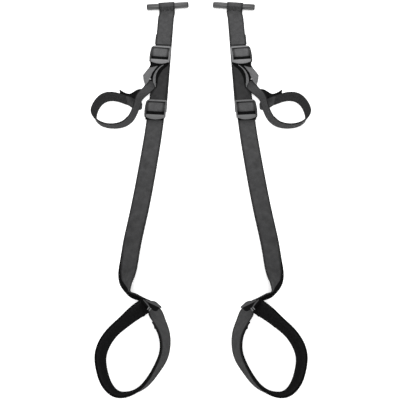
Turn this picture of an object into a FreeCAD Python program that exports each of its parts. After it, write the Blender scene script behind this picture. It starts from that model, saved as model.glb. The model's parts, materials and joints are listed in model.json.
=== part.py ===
import FreeCAD, Part
import math
import os

# A pair of door-hung therapy straps laid flat: anchor bar, webbing hanger, two
# ladder-lock adjusters, a hand cuff and a padded foot loop on each strap.
# Millimetres. +Z points up from the resting surface and +Y towards the anchor bars.
# The left strap lies on -X, and the right strap is its mirror image.

# webbing
WEB_WIDTH = 40.0
WEB_THICK = 1.6
LAYER_GAP = 0.3
EDGE_CLEARANCE = 0.8

# anchor bar and its sleeve
BAR_DIAMETER = 15.0
BAR_LENGTH = 107.0
BAR_BORE = 9.0
BAR_END_ROUND = 3.0
BAR_WAIST = 0.2
WAIST_MARGIN = 0.5
BAR_TILT = 4.6
BAR_X = -84.5
BAR_Y = 546.7
SLEEVE_OFFSET = -3.0
SLEEVE_CLEARANCE = 0.3
SLEEVE_LEAD = 13.0
PLUG_LENGTH = 12.0
PLUG_FIT = 0.05
PLUG_HEAD = 2.0

# hanger line: where the webbing passes under the bar, and its lean
HANGER_X = -87.0
HANGER_Y = 546.0
HANGER_LEAN = 2.85
TAIL_LENGTH = 120.5
HEM_LENGTH = 9.0
FRONT_START = 146.0
STITCH_BOX_TOP = 30.0
STITCH_BOX_LENGTH = 30.0
STITCH_ROWS = (93.0, 97.0, 107.0)
CROSS_SHARE = 0.8

# adjusters (ladder locks)
BUCKLE_LENGTH = 56.0
RAIL_WIDTH = 4.2
RAIL_BASE = 3.9
RAIL_HEIGHT = 4.6
TOP_BAR_DEPTH = 6.0
TOP_BAR_HEIGHT = 3.2
CROSS_BAR_DEPTH = 15.0
CROSS_BAR_HEIGHT = 2.5
CROSS_BAR_Y = 6.5
TAB_DEPTH = 13.5
TAB_THICK = 2.4
TAB_RISE = 14.0
TAB_BOW = 4.0
TAB_OVERLAP = 1.5
RAIL_ROUND = 1.2
TOP_BAR_ROUND = 1.3
CROSS_BAR_ROUND = 0.9
CROSS_BAR_LIFT = 0.6
TURN_RISE = 4.8
TURN_RAMP = 4.5
TURN_SLANT = 1.4
TURN_BEFORE = 3.5
TURN_AFTER = 2.5
TURN_END_GAP = 0.5
UPPER_ADJUSTER_DROP = 156.5
UPPER_ADJUSTER_SHIFT = -4.5
LOWER_ADJUSTER_X = -105.0
LOWER_ADJUSTER_Y = 229.0
LOWER_ADJUSTER_LEAN = 3.2

# hand cuff
CUFF_WIDTH = 25.0
CUFF_THICK = 1.4
CUFF_LINING = 1.5
HOOK_TAPE_THICK = 0.9
HOOK_TAPE_WIDTH = 20.0
TAB_TAPE_THICK = 1.0
TACK_RADIUS = 2.6
TACK_HEIGHT = 2.0

# foot loop
LOOP_WIDTH = 40.0
LINING_THICK = 6.0

# stitching, standing proud of the webbing
THREAD_PROUD = 0.4
THREAD_WIDTH = 0.9
STITCH_MARGIN = 3.0
CUFF_MARGIN = 1.2

# layers
SKIN_GAP = 0.35
THREAD_GAP = 0.25
BACK_PEEK = 3.0
BACK_RUN_START = 7
PEEK_START = 10
PEEK_SPAN = 3
ROLL_GAP = 1.2
ROLL_START = 7
ROLL_SPAN = 3
RING_START = 6
RING_END = 17
TAPE_START = 3
TAPE_END = 10
RIBBON_STEPS = 2

FRONT_Z = WEB_THICK + LAYER_GAP
FRONT_TOP = FRONT_Z + WEB_THICK
SLEEVE_INNER = BAR_DIAMETER / 2 + SLEEVE_CLEARANCE
SLEEVE_OUTER = SLEEVE_INNER + WEB_THICK
BAR_Z = SLEEVE_OUTER
TURN_BASE = FRONT_TOP + LAYER_GAP
TURN_CROWN = TURN_BASE + TURN_RISE
BUCKLE_WIDTH = WEB_WIDTH + 2 * (EDGE_CLEARANCE + RAIL_WIDTH)

# Lower edge of the foot loop's band on the resting surface, clockwise from the knot,
# and how far the band leans outwards there as a share of its width.
LOOP_STATIONS = [
    (-104.0, -229.0, -0.10),
    (-91.0, -232.0, -0.50),
    (-79.0, -242.0, -0.68),
    (-71.0, -259.0, -0.66),
    (-62.0, -284.0, -0.52),
    (-59.5, -310.0, -0.38),
    (-65.0, -337.0, -0.25),
    (-79.5, -361.0, -0.12),
    (-101.0, -386.0, 0.04),
    (-126.0, -398.5, 0.20),
    (-150.0, -399.5, 0.27),
    (-168.0, -384.0, 0.30),
    (-179.0, -360.0, 0.31),
    (-184.0, -334.0, 0.30),
    (-178.0, -311.0, 0.28),
    (-164.0, -290.5, 0.24),
    (-147.5, -275.5, 0.28),
    (-129.5, -261.5, 0.40),
    (-107.5, -247.0, 0.50),
]

# Edge pairs of the front run where it rolls on edge towards the knot: the edge that
# stays low, then the edge that lifts. The back run follows it one layer further out.
FRONT_ROLL = [
    ((-162.0, -138.0, 2.7), (-125.6, -139.0, 2.7)),
    ((-161.7, -161.0, 3.5), (-128.0, -167.0, 18.0)),
    ((-159.0, -178.0, 4.0), (-132.0, -186.0, 29.0)),
    ((-153.3, -191.5, 4.0), (-134.0, -201.5, 36.0)),
    ((-143.6, -204.5, 4.0), (-135.0, -215.0, 39.0)),
    ((-130.0, -215.0, 4.0), (-127.4, -221.5, 40.5)),
    ((-113.0, -224.5, 4.0), (-110.0, -228.0, 42.0)),
]
FRONT_LINE = [(-108.2, 170.0), (-119.6, 65.0), (-133.0, -38.0)]

# Cuff band: from the connector, round the wrist opening and under itself.
CUFF_BAND = [
    ((-107.0, 309.0, 5.4), (-128.0, 318.0, 5.4)),
    ((-109.0, 297.0, 5.4), (-129.0, 304.0, 6.5)),
    ((-115.5, 284.0, 8.5), (-133.5, 286.0, 14.0)),
    ((-127.0, 271.0, 9.5), (-142.5, 270.5, 20.0)),
    ((-138.5, 256.5, 8.0), (-150.0, 252.0, 24.0)),
    ((-142.0, 237.0, 5.5), (-154.5, 231.0, 24.0)),
    ((-149.0, 217.0, 3.0), (-161.0, 211.0, 22.0)),
    ((-161.0, 196.5, 0.8), (-171.0, 193.0, 22.0)),
    ((-180.0, 184.5, 0.8), (-183.0, 182.0, 25.0)),
    ((-205.0, 182.5, 0.8), (-202.0, 178.0, 25.0)),
    ((-228.0, 189.5, 0.8), (-225.0, 183.0, 25.0)),
    ((-242.0, 206.0, 0.8), (-244.0, 199.0, 24.0)),
    ((-241.0, 226.0, 0.8), (-253.0, 220.0, 22.0)),
    ((-233.0, 246.0, 0.8), (-245.0, 244.0, 22.0)),
    ((-219.0, 258.0, 0.8), (-227.0, 264.0, 23.0)),
    ((-201.0, 258.5, 0.8), (-204.0, 267.0, 24.0)),
    ((-183.0, 253.5, 0.8), (-186.0, 262.5, 23.5)),
    ((-167.0, 246.0, 0.8), (-168.5, 258.0, 15.5)),
    ((-154.0, 238.0, 0.8), (-152.5, 259.0, 3.5)),
    ((-137.0, 231.0, 1.0), (-136.5, 255.0, 1.0)),
]
CUFF_TAB = [
    ((-142.0, 267.0, 1.0), (-138.0, 289.0, 4.0)),
    ((-156.0, 263.0, 1.0), (-154.5, 268.5, 20.0)),
    ((-168.0, 262.0, 1.2), (-166.5, 261.0, 25.0)),
    ((-179.0, 264.5, 2.0), (-178.0, 264.5, 26.0)),
    ((-190.0, 271.0, 3.5), (-189.0, 272.0, 27.5)),
]
CONNECTOR_TOP = HANGER_Y - UPPER_ADJUSTER_DROP - BUCKLE_LENGTH / 2 + TURN_END_GAP
CONNECTOR_OUTER = [
    ((-120.0, CONNECTOR_TOP, 5.6), (-98.0, CONNECTOR_TOP, 5.6)),
    ((-130.0, 344.0, 7.5), (-107.0, 348.0, 8.5)),
    ((-138.5, 328.0, 9.0), (-114.0, 335.0, 11.0)),
    ((-135.0, 311.0, 10.5), (-118.0, 320.0, 13.5)),
    ((-131.0, 295.0, 13.5), (-122.5, 307.0, 14.5)),
]
CONNECTOR_INNER = [
    ((-96.0, CONNECTOR_TOP, 5.6), (-83.0, CONNECTOR_TOP, 5.6)),
    ((-103.5, 346.0, 11.0), (-98.0, 344.0, 5.8)),
    ((-111.5, 331.0, 13.0), (-107.5, 328.0, 7.5)),
    ((-114.0, 315.0, 14.0), (-109.0, 311.0, 8.2)),
    ((-115.0, 303.0, 14.5), (-109.5, 292.0, 9.5)),
]
# Heights of the free end are above the loop's own width.
KNOT_TAIL = [
    ((-107.0, -231.5, 2.6), (-108.0, -240.5, 2.4)),
    ((-96.0, -236.5, 2.6), (-99.0, -246.5, 2.2)),
    ((-86.0, -239.5, 2.3), (-90.0, -251.0, 1.6)),
    ((-74.5, -248.5, 1.4), (-79.5, -251.5, 0.6)),
]
CUFF_PIVOT = (-119.0, 312.0)
TAB_PIVOT = (-139.0, 277.0)
LOOP_PIVOT = (-106.0, -228.5)
LOOP_TACK = (-103.5, -252.5)
CONNECTOR_TACK = (-119.0, 315.0, 15.8)

UP = FreeCAD.Vector(0, 0, 1)


def vec(x, y, z=0.0):
    return FreeCAD.Vector(x, y, z)


def box(x0, x1, y0, y1, z0, z1):
    """Box between two corners."""
    return Part.makeBox(x1 - x0, y1 - y0, z1 - z0, vec(x0, y0, z0))


def place(shape, x, y, turn):
    """A copy turned about the vertical, then moved along the resting surface."""
    moved = shape.copy()
    moved.Placement = FreeCAD.Placement(vec(x, y), FreeCAD.Rotation(UP, turn))
    return moved


def through(points, count):
    """Points on a smooth curve that passes through all the given points."""
    curve = Part.BSplineCurve()
    curve.interpolate(points)
    first, last = curve.FirstParameter, curve.LastParameter
    return [curve.value(first + (last - first) * i / (count - 1)) for i in range(count)]


def sections(pairs, under, over, reach=0.0, steps=RIBBON_STEPS):
    """Frames along a band: middle, direction across it, normal and width.

    The normal is the travel direction crossed with the direction from the low edge
    to the high edge. A stack from under to over along it stays above the surface,
    and so does a layer that reaches further than half the width on the low side.
    """
    count = (len(pairs) - 1) * steps + 1
    low = through([vec(*pair[0]) for pair in pairs], count)
    high = through([vec(*pair[1]) for pair in pairs], count)
    frames = []
    for i in range(count):
        middle = (low[i] + high[i]) * 0.5
        width = (high[i] - low[i]).Length
        across = (high[i] - low[i]).normalize()
        after = min(i + 1, count - 1)
        before = max(i - 1, 0)
        travel = (low[after] + high[after]) - (low[before] + high[before])
        normal = travel.cross(across).normalize()
        side = max(width / 2, reach)
        depth = max(abs(across.z) * side - normal.z * offset for offset in (under, over))
        lift = max(0.0, depth - middle.z)
        frames.append((middle + vec(0, 0, lift), across, normal, width))
    return frames


def aside(frames, sideways=0.0, outwards=0.0, upwards=0.0, start=0, span=0):
    """Frames moved towards their high edge, against their normal or up, eased in over a span."""
    moved = []
    for i, (middle, across, normal, width) in enumerate(frames):
        share = min(1.0, max(0, i - start) / span) if span else 1.0
        step = across * sideways - normal * outwards + UP * upwards
        moved.append((middle + step * share, across, normal, width))
    return moved


def band(frames, back, front, width=None):
    """Solid skinned with triangles over a band's frames, between two normal offsets.

    With no width given, the band is as wide as its own edge pairs.
    """
    rings = []
    for centre, across, normal, own_width in frames:
        half = (width or own_width) / 2
        rings.append([
            centre - across * half + normal * back,
            centre + across * half + normal * back,
            centre + across * half + normal * front,
            centre - across * half + normal * front,
        ])
    faces = []

    def triangle(a, b, c):
        faces.append(Part.Face(Part.makePolygon([a, b, c, a])))

    def four_sided(a, b, c, d):
        # Four triangles about the middle, so that layers of one band never cross.
        hub = (a + b + c + d) * 0.25
        for first, second in ((a, b), (b, c), (c, d), (d, a)):
            triangle(first, second, hub)

    for start, end in zip(rings, rings[1:]):
        for k in range(4):
            n = (k + 1) % 4
            four_sided(start[k], start[n], end[n], end[k])
    for cap in (rings[0], rings[-1]):
        triangle(cap[0], cap[1], cap[2])
        triangle(cap[0], cap[2], cap[3])
    shell = Part.Shell(faces)
    shell.sewShape()
    solid = Part.Solid(shell)
    if solid.Volume < 0:
        solid.reverse()
    return solid


def hanger_point(drop):
    """Point of the hanger's centre line at a distance below the bar."""
    lean = math.radians(HANGER_LEAN)
    return (HANGER_X - drop * math.sin(lean), HANGER_Y - drop * math.cos(lean))


def flat_pairs(line, z):
    """Edge pairs of flat webbing that follows a centre line, low edge on the left."""
    pairs = []
    half = WEB_WIDTH / 2
    for i, (x, y) in enumerate(line):
        after = line[min(i + 1, len(line) - 1)]
        before = line[max(i - 1, 0)]
        length = math.hypot(after[0] - before[0], after[1] - before[1])
        side_x = (before[1] - after[1]) / length * half
        side_y = (after[0] - before[0]) / length * half
        pairs.append(((x - side_x, y - side_y, z), (x + side_x, y + side_y, z)))
    return pairs


def make_bar():
    """Hollow anchor bar with rounded rims and a shallow waist that keeps the sleeve in place."""
    half = BAR_LENGTH / 2
    tube = Part.makeCylinder(BAR_DIAMETER / 2, BAR_LENGTH, vec(-half, 0, BAR_Z), vec(1, 0, 0))
    rims = [e for e in tube.Edges if isinstance(e.Curve, Part.Circle)]
    tube = tube.makeFillet(BAR_END_ROUND, rims)
    bore = Part.makeCylinder(BAR_BORE / 2, BAR_LENGTH, vec(-half, 0, BAR_Z), vec(1, 0, 0))
    waist_start = vec(SLEEVE_OFFSET - WEB_WIDTH / 2 - WAIST_MARGIN, 0, BAR_Z)
    waist_length = WEB_WIDTH + 2 * WAIST_MARGIN
    blank = Part.makeCylinder(BAR_DIAMETER, waist_length, waist_start, vec(1, 0, 0))
    core = Part.makeCylinder(BAR_DIAMETER / 2 - BAR_WAIST, waist_length, waist_start, vec(1, 0, 0))
    return place(tube.cut([bore, blank.cut(core)]), BAR_X, BAR_Y, BAR_TILT)


def make_plugs():
    """Two end plugs pressed into the bar's bore."""
    plugs = []
    for side in (-1, 1):
        end = side * BAR_LENGTH / 2
        inwards = vec(-side, 0, 0)
        stem = Part.makeCylinder(BAR_BORE / 2 - PLUG_FIT, PLUG_LENGTH, vec(end, 0, BAR_Z), inwards)
        core = Part.makeCylinder(BAR_BORE / 4, PLUG_LENGTH - PLUG_HEAD,
                                 vec(end + inwards.x * PLUG_HEAD, 0, BAR_Z), inwards)
        plugs.append(stem.cut(core))
    return place(Part.makeCompound(plugs), BAR_X, BAR_Y, BAR_TILT)


def make_hanger():
    """Webbing round the bar: sleeve, stitched front tail with its hem, and the back run."""
    half = WEB_WIDTH / 2
    left = SLEEVE_OFFSET - half
    outer = Part.makeCylinder(SLEEVE_OUTER, WEB_WIDTH, vec(left, 0, BAR_Z), vec(1, 0, 0))
    inner = Part.makeCylinder(SLEEVE_INNER, WEB_WIDTH, vec(left, 0, BAR_Z), vec(1, 0, 0))
    # The front lead is a slab tangent to the sleeve that comes down to the front layer.
    drop = BAR_Z - FRONT_Z
    reach = math.hypot(SLEEVE_LEAD, drop)
    slope = math.atan2(drop, SLEEVE_LEAD) + math.asin(SLEEVE_INNER / reach)
    length = math.sqrt(reach ** 2 - SLEEVE_INNER ** 2)
    lead = box(left, left + WEB_WIDTH, 0, length, 0, WEB_THICK)
    lead.rotate(vec(0, 0, 0), vec(1, 0, 0), math.degrees(slope))
    lead.translate(vec(0, -SLEEVE_LEAD, FRONT_Z))
    base = box(left, left + WEB_WIDTH, -SLEEVE_LEAD, 0, 0, WEB_THICK)
    sleeve = outer.fuse([lead, base]).cut(inner)
    sleeve = place(sleeve, BAR_X, BAR_Y, BAR_TILT)
    tail = box(-half, half, -TAIL_LENGTH, -SLEEVE_LEAD + 1, FRONT_Z, FRONT_TOP)
    hem = box(-half, half, -TAIL_LENGTH, -TAIL_LENGTH + HEM_LENGTH, FRONT_TOP, FRONT_TOP + WEB_THICK)
    seam = box(-half, half, -TAIL_LENGTH + HEM_LENGTH, -SLEEVE_LEAD - 2, WEB_THICK, FRONT_Z)
    back_length = HANGER_Y - LOWER_ADJUSTER_Y
    back = box(-half, half, -back_length, -SLEEVE_LEAD + 1, 0, WEB_THICK)
    run = tail.fuse([hem, seam, back])
    return sleeve.fuse(place(run, HANGER_X, HANGER_Y, -HANGER_LEAN)).removeSplitter()


def make_hanger_stitching():
    """Rows of thread that join the tail to the back run: a crossed box and bar tacks."""
    half = WEB_WIDTH / 2 - STITCH_MARGIN
    z0, z1 = FRONT_TOP, FRONT_TOP + THREAD_PROUD
    box_end = STITCH_BOX_TOP + STITCH_BOX_LENGTH
    rows = []
    for drop in (STITCH_BOX_TOP, box_end) + STITCH_ROWS:
        rows.append(box(-half, half, -drop - THREAD_WIDTH, -drop, z0, z1))
    for side in (-half, half - THREAD_WIDTH):
        rows.append(box(side, side + THREAD_WIDTH, -box_end, -STITCH_BOX_TOP - THREAD_WIDTH, z0, z1))
    diagonal = math.hypot(2 * half, STITCH_BOX_LENGTH) * CROSS_SHARE
    turn = math.degrees(math.atan2(STITCH_BOX_LENGTH, 2 * half))
    box_middle = -(STITCH_BOX_TOP + box_end + THREAD_WIDTH) / 2
    cross = []
    for angle in (turn, -turn):
        stroke = box(-diagonal / 2, diagonal / 2, -THREAD_WIDTH / 2, THREAD_WIDTH / 2, z0, z1)
        stroke.Placement = FreeCAD.Placement(vec(0, box_middle), FreeCAD.Rotation(UP, angle))
        cross.append(stroke)
    rows.append(cross[0].fuse(cross[1]))
    return place(Part.makeCompound(rows), HANGER_X, HANGER_Y, -HANGER_LEAN)


def make_buckle():
    """One moulded ladder lock: two rails, top bar, cross bar and a raised thumb tab."""
    slot = WEB_WIDTH / 2 + EDGE_CLEARANCE
    side = slot + RAIL_WIDTH
    top = BUCKLE_LENGTH / 2
    bar_base = TURN_BASE + WEB_THICK + LAYER_GAP
    rail_end = -top + TAB_BOW + 2
    rails = []
    for low, high in ((-side, -slot), (slot, side)):
        rail = box(low, high, rail_end, top, RAIL_BASE, RAIL_BASE + RAIL_HEIGHT)
        long_edges = [e for e in rail.Edges if e.Length > BUCKLE_LENGTH / 2]
        rails.append(rail.makeFillet(RAIL_ROUND, long_edges))
    top_bar = box(-side, side, top - TOP_BAR_DEPTH, top, bar_base, bar_base + TOP_BAR_HEIGHT)
    along_x = [e for e in top_bar.Edges if e.Length > BUCKLE_WIDTH - 1]
    top_bar = top_bar.makeFillet(TOP_BAR_ROUND, along_x)
    cross_low = TURN_BASE + CROSS_BAR_LIFT
    cross = box(-slot - 1, slot + 1, CROSS_BAR_Y - CROSS_BAR_DEPTH / 2,
                CROSS_BAR_Y + CROSS_BAR_DEPTH / 2, cross_low, cross_low + CROSS_BAR_HEIGHT)
    wide = [e for e in cross.Edges if e.Length > 2 * slot]
    cross = cross.makeFillet(CROSS_BAR_ROUND, wide)
    # The tab's outline is bowed at its free edge, and the slab is tilted up towards it.
    reach = slot + TAB_OVERLAP
    start = -top + TAB_DEPTH
    corner = -top + TAB_BOW
    outline = Part.Wire([
        Part.makeLine(vec(-reach, start), vec(-reach, corner)),
        Part.Arc(vec(-reach, corner), vec(0, -top), vec(reach, corner)).toShape(),
        Part.makeLine(vec(reach, corner), vec(reach, start)),
        Part.makeLine(vec(reach, start), vec(-reach, start)),
    ])
    tab = Part.Face(outline).extrude(vec(0, 0, TAB_THICK))
    tab.translate(vec(0, 0, bar_base))
    tab.rotate(vec(0, start, bar_base), vec(1, 0, 0), -TAB_RISE)
    return rails[0].fuse([rails[1], top_bar, cross, tab]).removeSplitter()


def make_turn():
    """Webbing that climbs over the cross bar and dives back under the tab."""
    half = WEB_WIDTH / 2
    top_end = BUCKLE_LENGTH / 2 - 1
    tab_end = -BUCKLE_LENGTH / 2 + 2
    crown_start = CROSS_BAR_Y + CROSS_BAR_DEPTH / 2 + TURN_BEFORE
    crown_end = CROSS_BAR_Y - CROSS_BAR_DEPTH / 2 - TURN_AFTER
    climb = crown_start + TURN_RAMP
    dive = crown_end - TURN_RAMP
    upper = [
        (top_end, TURN_BASE + WEB_THICK),
        (climb, TURN_BASE + WEB_THICK),
        (crown_start, TURN_CROWN),
        (crown_end, TURN_CROWN),
        (dive, TURN_BASE + WEB_THICK),
        (tab_end, TURN_BASE + WEB_THICK),
    ]
    lower = [
        (tab_end, TURN_BASE),
        (dive + TURN_SLANT, TURN_BASE),
        (crown_end + TURN_SLANT, TURN_CROWN - WEB_THICK),
        (crown_start - TURN_SLANT, TURN_CROWN - WEB_THICK),
        (climb - TURN_SLANT, TURN_BASE),
        (top_end, TURN_BASE),
    ]
    points = [vec(-half, y, z) for y, z in upper + lower]
    face = Part.Face(Part.makePolygon(points + [points[0]]))
    return face.extrude(vec(WEB_WIDTH, 0, 0))


def upper_place(shape):
    x, y = hanger_point(UPPER_ADJUSTER_DROP)
    return place(shape, x + UPPER_ADJUSTER_SHIFT, y, -HANGER_LEAN)


def lower_place(shape):
    return place(shape, LOWER_ADJUSTER_X, LOWER_ADJUSTER_Y, -LOWER_ADJUSTER_LEAN)


def strap_frames():
    """Frames of the long front run: flat from under the upper adjuster, then rolled."""
    middle = FRONT_Z + WEB_THICK / 2
    length = HANGER_Y - LOWER_ADJUSTER_Y
    top = [hanger_point(FRONT_START), hanger_point((FRONT_START + length) / 2), hanger_point(length)]
    under = -WEB_THICK * 1.5 - LAYER_GAP
    reach = WEB_WIDTH / 2 + BACK_PEEK
    frames = sections(flat_pairs(top + FRONT_LINE, middle) + FRONT_ROLL, under, WEB_THICK / 2, reach)
    return aside(frames, upwards=ROLL_GAP, start=BACK_RUN_START + ROLL_START, span=ROLL_SPAN)


def make_straps():
    """The front run, and the second run that lies under it below the lower adjuster."""
    frames = strap_frames()
    half = WEB_THICK / 2
    front = band(frames, -half, half, WEB_WIDTH)
    under = -half - LAYER_GAP
    run = aside(frames[BACK_RUN_START:], sideways=-BACK_PEEK, start=PEEK_START, span=PEEK_SPAN)
    run = aside(run, outwards=ROLL_GAP, start=ROLL_START, span=ROLL_SPAN)
    back = band(run, under - WEB_THICK, under, WEB_WIDTH)
    return front, back


def loop_frames():
    """Frames of the foot loop, from where its lower edge lies and how far it leans."""
    pairs = []
    last = len(LOOP_STATIONS) - 1
    for i, (x, y, lean) in enumerate(LOOP_STATIONS):
        after = LOOP_STATIONS[min(i + 1, last)]
        before = LOOP_STATIONS[max(i - 1, 0)]
        along_x = after[0] - before[0]
        along_y = after[1] - before[1]
        length = math.hypot(along_x, along_y)
        out_x = -along_y / length
        out_y = along_x / length
        rise = LOOP_WIDTH * math.sqrt(1 - lean ** 2)
        high = (x + out_x * lean * LOOP_WIDTH, y + out_y * lean * LOOP_WIDTH, rise)
        pairs.append(((x, y, 0.0), high))
    return sections(pairs, -WEB_THICK - THREAD_PROUD, SKIN_GAP + LINING_THICK)


def thread_rows(frames, width, margin, back, front):
    """Two rows of thread, each at a margin from one of a band's edges."""
    rows = []
    for side in (margin - width / 2, width / 2 - margin):
        rows.append(band(aside(frames, side), back, front, THREAD_WIDTH))
    return Part.makeCompound(rows)


def loop_parts():
    """The foot loop: webbing outside, padded lining inside, and thread near both edges."""
    frames = loop_frames()
    skip = 2 * RIBBON_STEPS
    free_end = aside(sections(KNOT_TAIL, 0.0, WEB_THICK), upwards=LOOP_WIDTH)
    return {
        "loop_webbing": band(frames, -WEB_THICK, 0.0, LOOP_WIDTH),
        "loop_lining": band(frames[skip:], SKIN_GAP, SKIN_GAP + LINING_THICK, LOOP_WIDTH),
        "loop_stitching": thread_rows(frames[skip:], LOOP_WIDTH, STITCH_MARGIN,
                                      -WEB_THICK - THREAD_GAP - THREAD_PROUD, -WEB_THICK - THREAD_GAP),
        "knot_tail": band(free_end, 0.0, WEB_THICK),
        "loop_tack": Part.makeCylinder(TACK_RADIUS, TACK_HEIGHT, vec(*LOOP_TACK, LOOP_WIDTH)),
    }


def cuff_parts():
    """The hand cuff: band, soft lining on the wrist side, hook tape outside, and thread."""
    half = CUFF_THICK / 2
    frames = sections(CUFF_BAND, -half - HOOK_TAPE_THICK, half + SKIN_GAP + CUFF_LINING, CUFF_WIDTH / 2)
    ring = frames[RING_START * RIBBON_STEPS:RING_END * RIBBON_STEPS]
    tape = frames[TAPE_START * RIBBON_STEPS:TAPE_END * RIBBON_STEPS]
    return {
        "cuff_band": band(frames, -half, half, CUFF_WIDTH),
        "cuff_lining": band(ring, half + SKIN_GAP, half + SKIN_GAP + CUFF_LINING, CUFF_WIDTH),
        "cuff_hook_tape": band(tape, -half - HOOK_TAPE_THICK, -half - THREAD_GAP, HOOK_TAPE_WIDTH),
        "cuff_stitching": thread_rows(ring, CUFF_WIDTH, CUFF_MARGIN,
                                      -half - THREAD_GAP - THREAD_PROUD, -half - THREAD_GAP),
    }


def tab_parts():
    """The closure tab with hook tape on its far face."""
    half = CUFF_THICK / 2
    frames = sections(CUFF_TAB, -half, half + SKIN_GAP + TAB_TAPE_THICK, CUFF_WIDTH / 2)
    return {
        "cuff_tab": band(frames, -half, half, CUFF_WIDTH),
        "cuff_tab_tape": band(frames[RIBBON_STEPS:], half + SKIN_GAP,
                              half + SKIN_GAP + TAB_TAPE_THICK, HOOK_TAPE_WIDTH),
    }


def connector_parts():
    """The wide webbing that joins cuff and adjuster, folded in two and pinched by a tack."""
    half = WEB_THICK / 2
    return {
        "connector_outer_fold": band(sections(CONNECTOR_OUTER, -half, half), -half, half),
        "connector_inner_fold": band(sections(CONNECTOR_INNER, -half, half), -half, half),
        "connector_tack": Part.makeCylinder(TACK_RADIUS, TACK_HEIGHT, vec(*CONNECTOR_TACK)),
    }


def left_parts():
    """Every piece of the left strap by name."""
    front, back = make_straps()
    parts = {
        "anchor_bar": make_bar(),
        "anchor_bar_plugs": make_plugs(),
        "hanger_strap": make_hanger(),
        "hanger_stitching": make_hanger_stitching(),
        "upper_buckle": upper_place(make_buckle()),
        "upper_webbing_turn": upper_place(make_turn()),
        "lower_buckle": lower_place(make_buckle()),
        "lower_webbing_turn": lower_place(make_turn()),
        "front_strap": front,
        "back_strap": back,
    }
    for group in (connector_parts(), cuff_parts(), tab_parts(), loop_parts()):
        parts.update(group)
    return parts


def all_parts():
    """Both straps, with the origin at the bottom centre of their common box."""
    left = left_parts()
    bounds = Part.makeCompound(list(left.values())).optimalBoundingBox(False, False)
    centre = (bounds.YMin + bounds.YMax) / 2
    parts = {}
    for name, shape in left.items():
        moved = shape.copy()
        moved.translate(vec(0, -centre, 0))
        parts["left_" + name] = moved
        parts["right_" + name] = moved.mirror(vec(0, 0, 0), vec(1, 0, 0))
    return parts, centre


PARTS, CENTRE_Y = all_parts()
os.makedirs("parts", exist_ok=True)
for node, shape in PARTS.items():
    shape.exportStep(os.path.join("parts", node + ".step"))
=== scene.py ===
"""A pair of door-hung therapy straps laid flat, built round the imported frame, in millimetres."""
import json
import math

import bpy
import numpy as np
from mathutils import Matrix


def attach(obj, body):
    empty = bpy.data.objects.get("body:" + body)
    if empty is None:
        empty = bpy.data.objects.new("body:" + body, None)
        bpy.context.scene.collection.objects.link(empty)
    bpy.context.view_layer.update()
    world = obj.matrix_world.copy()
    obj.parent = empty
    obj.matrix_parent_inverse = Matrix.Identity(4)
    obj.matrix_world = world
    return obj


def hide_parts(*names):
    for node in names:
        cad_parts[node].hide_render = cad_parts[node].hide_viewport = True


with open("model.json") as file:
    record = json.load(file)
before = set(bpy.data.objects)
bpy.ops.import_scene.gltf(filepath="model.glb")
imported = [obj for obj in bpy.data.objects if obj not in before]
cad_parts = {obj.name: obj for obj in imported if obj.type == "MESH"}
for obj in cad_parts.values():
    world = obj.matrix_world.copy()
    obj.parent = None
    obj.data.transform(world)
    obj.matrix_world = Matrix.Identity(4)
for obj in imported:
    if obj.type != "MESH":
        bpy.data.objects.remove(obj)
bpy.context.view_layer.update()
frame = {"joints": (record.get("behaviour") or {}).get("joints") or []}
scene = bpy.context.scene

# --- Studio ---
# A white ground sheet, one broad soft light overhead and a white surround.
GROUND_REACH = 4.0
ground_mesh = bpy.data.meshes.new("ground")
ground_corners = [(x * GROUND_REACH, y * GROUND_REACH, 0) for x, y in ((-1, -1), (1, -1), (1, 1), (-1, 1))]
ground_mesh.from_pydata(ground_corners, [], [(0, 1, 2, 3)])
ground = bpy.data.objects.new("ground", ground_mesh)
scene.collection.objects.link(ground)
ground_white = bpy.data.materials.new("ground_white")
ground_white.use_nodes = True
ground_shader = ground_white.node_tree.nodes["Principled BSDF"]
ground_shader.inputs["Base Color"].default_value = (0.93, 0.93, 0.93, 1)
ground_shader.inputs["Roughness"].default_value = 0.9
ground_shader.inputs["Specular IOR Level"].default_value = 0.1
ground_shader.inputs["Emission Color"].default_value = (1, 1, 1, 1)
ground_shader.inputs["Emission Strength"].default_value = 0.3
ground_mesh.materials.append(ground_white)

surround = bpy.data.worlds.new("surround")
surround.use_nodes = True
surround.node_tree.nodes["Background"].inputs["Color"].default_value = (1, 1, 1, 1)
surround.node_tree.nodes["Background"].inputs["Strength"].default_value = 1.0
scene.world = surround
scene.view_settings.view_transform = "Standard"


def soft_light(name, place, target, size, power):
    """A square area light at a place, facing a target."""
    light = bpy.data.lights.new(name, "AREA")
    light.size = size
    light.energy = power
    lamp = bpy.data.objects.new(name, light)
    lamp.location = place
    aim = np.array(target, float) - np.array(place, float)
    level = math.hypot(aim[0], aim[1])
    lamp.rotation_euler = (math.atan2(level, -aim[2]), 0, math.atan2(-aim[0], aim[1]))
    scene.collection.objects.link(lamp)


soft_light("overhead", (0.0, -0.9, 2.1), (0, 0, 0), 1.6, 34)
soft_light("far_side", (0.0, 1.5, 1.3), (0, 0.1, 0), 1.0, 12)

# The camera looks down along the straps from the foot-loop end.
VIEW_RANGE = 1.250
VIEW_TILT = math.radians(64)
LENS_RATIO = 1.45
SENSOR = 36.0
camera = bpy.data.objects.new("camera", bpy.data.cameras.new("camera"))
camera.data.sensor_width = SENSOR
camera.data.lens = SENSOR * LENS_RATIO
camera.data.clip_start = 0.01
scene.collection.objects.link(camera)
scene.camera = camera

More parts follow.
